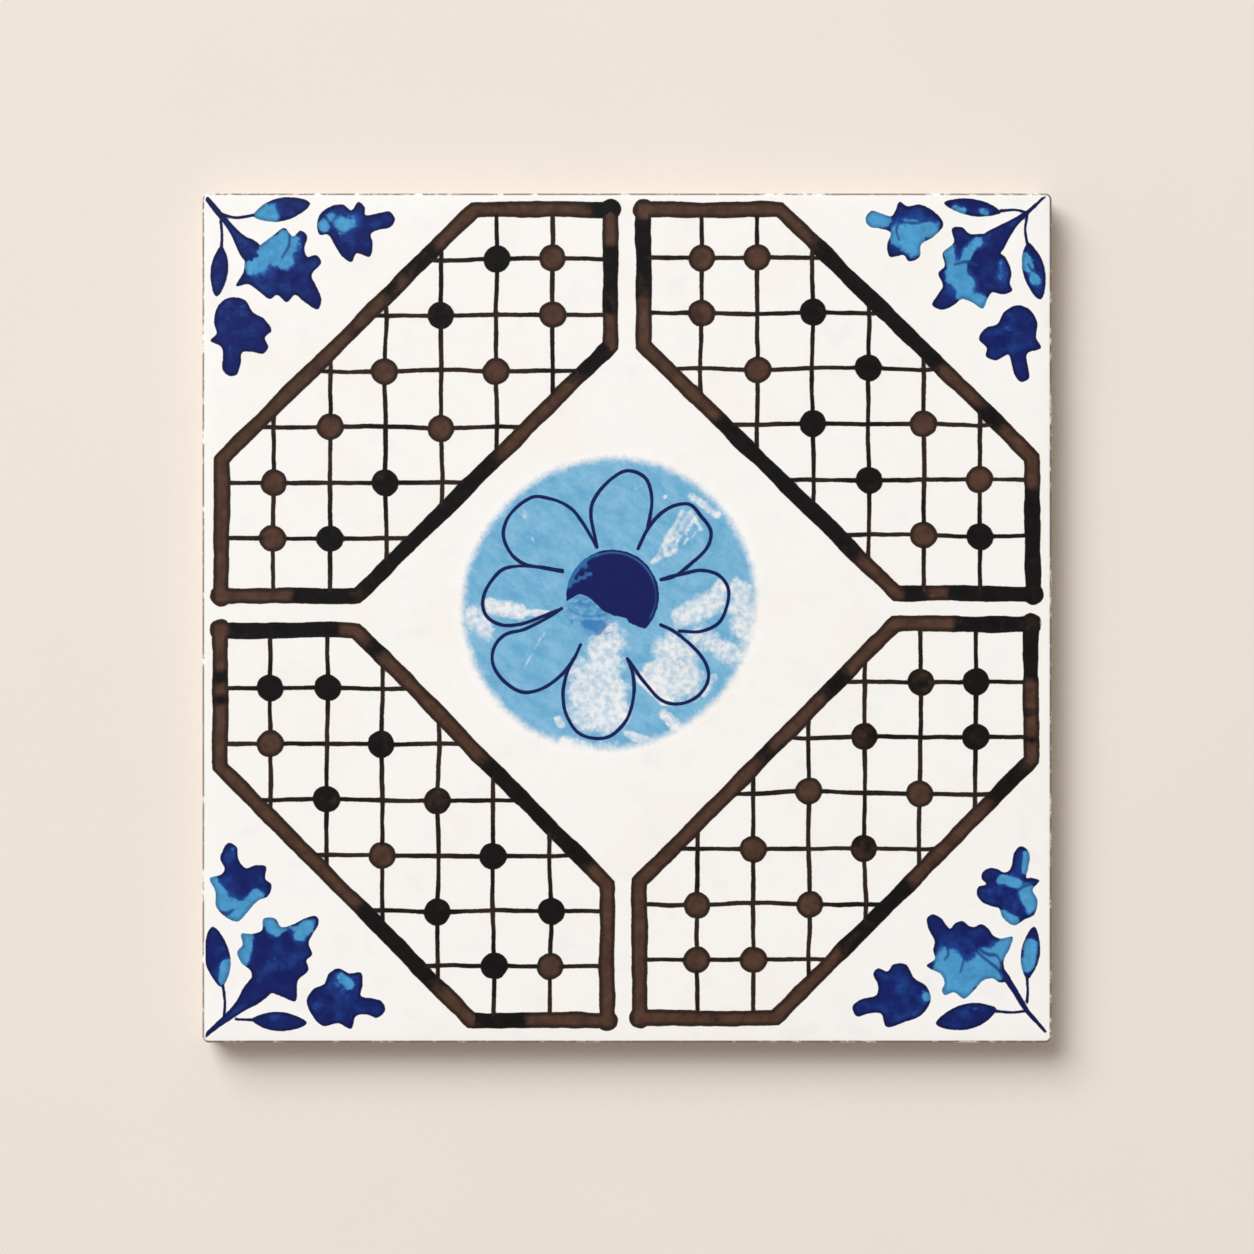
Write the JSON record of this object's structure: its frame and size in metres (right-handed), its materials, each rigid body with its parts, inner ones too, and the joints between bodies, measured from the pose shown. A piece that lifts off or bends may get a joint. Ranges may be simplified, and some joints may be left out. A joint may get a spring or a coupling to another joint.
{
  "type": "porcelain tile",
  "caption": "Square glazed porcelain wall and floor tile printed with trellis panels, corner sprigs and a daisy roundel, with softened edges and a ribbed back.",
  "frame": {"origin": "centre of the back, on the plane of the ribs that the tile lies on", "axes": "+Z out of the glazed face, +Y the way up of the print, +X to its right"},
  "size_m": [0.2, 0.2, 0.009],
  "materials": {
    "glazed_porcelain": "warm white satin glaze over the face and arris, with cobalt blue, manganese brown and black print; bare off-white body on the skirt and back"
  },
  "bodies": {
    "root": {"tile": "glazed_porcelain"}
  },
  "joints": []
}
